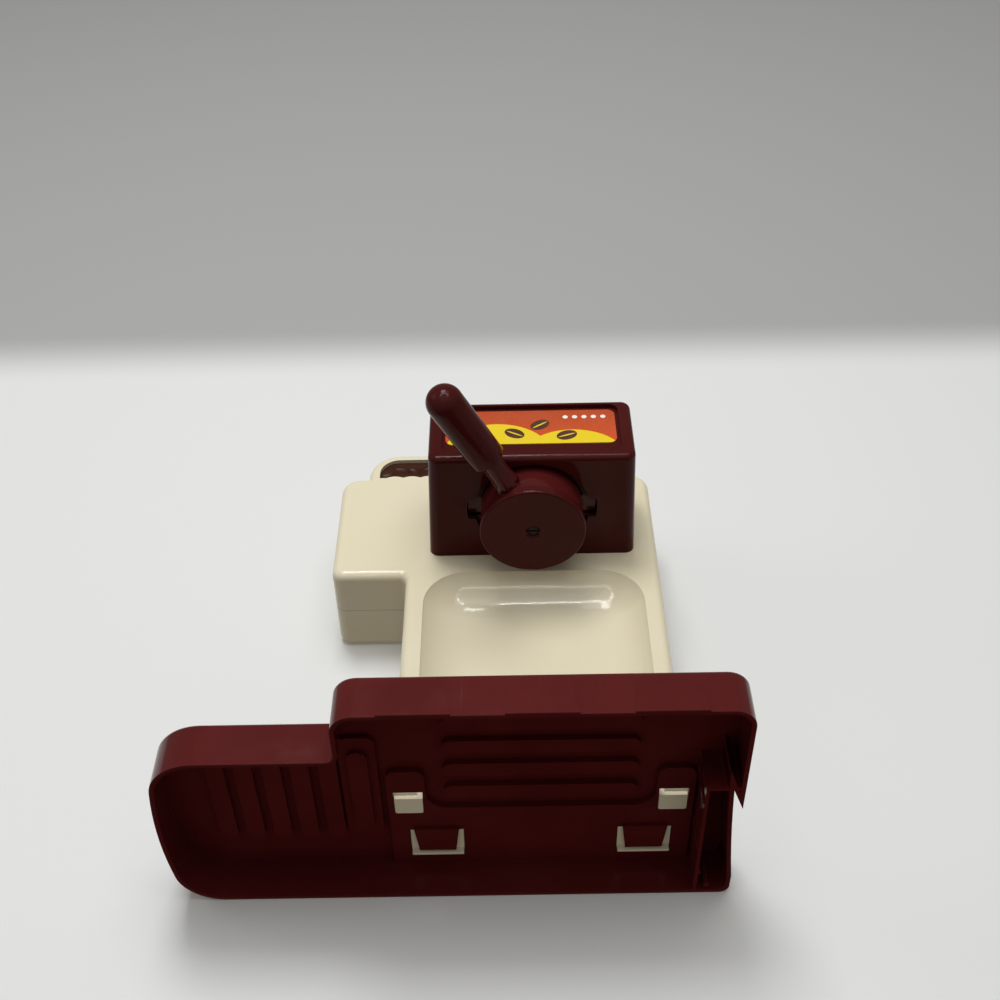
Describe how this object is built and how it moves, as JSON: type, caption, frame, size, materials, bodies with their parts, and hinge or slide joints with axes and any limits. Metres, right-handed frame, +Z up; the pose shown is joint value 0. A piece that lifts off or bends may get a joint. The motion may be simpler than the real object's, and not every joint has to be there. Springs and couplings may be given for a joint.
{
  "type": "toy coffee maker",
  "caption": "Toy espresso machine with a cream body, brown brew head, dark red base with side shelf, and a twist-in portafilter that lifts out.",
  "frame": {"origin": "middle of the part's box on the plane of the base's rim", "axes": "+Z up, -Y towards the front with the tray, +X to the right seen from the front"},
  "size_m": [0.25, 0.1734, 0.2535],
  "materials": {
    "maroon_plastic": "gloss",
    "cream_plastic": "semi-gloss",
    "brown_plastic": "semi-gloss",
    "dark_plastic": "matte",
    "bean_brown": "semi-gloss",
    "label_print": "satin",
    "screw_steel": "satin"
  },
  "bodies": {
    "machine": {"base_shell": "maroon_plastic", "body_front_shell": "cream_plastic", "body_rear_cover": "cream_plastic", "body_screws": "screw_steel", "head_shell": "brown_plastic", "head_screws": "screw_steel", "head_label": "label_print", "hopper_beans": "bean_brown", "socket_bridge": "dark_plastic", "bridge_screws": "screw_steel"},
    "socket": {"brew_socket": "dark_plastic"},
    "portafilter": {"portafilter_cup": "maroon_plastic", "portafilter_disc": "maroon_plastic", "disc_screw": "screw_steel", "portafilter_grip": "maroon_plastic"}
  },
  "joints": [
    {"name": "handle_turn", "type": "hinge", "parent": "machine", "child": "socket", "pos_m": [0.04025, 0.00218, 0.19], "axis": [0, 0, 1], "range_deg": [0, 28]},
    {"name": "portafilter_drop", "type": "slide", "parent": "socket", "child": "portafilter", "axis": [0, 0, -1], "range_m": [0, 0.035]}
  ]
}
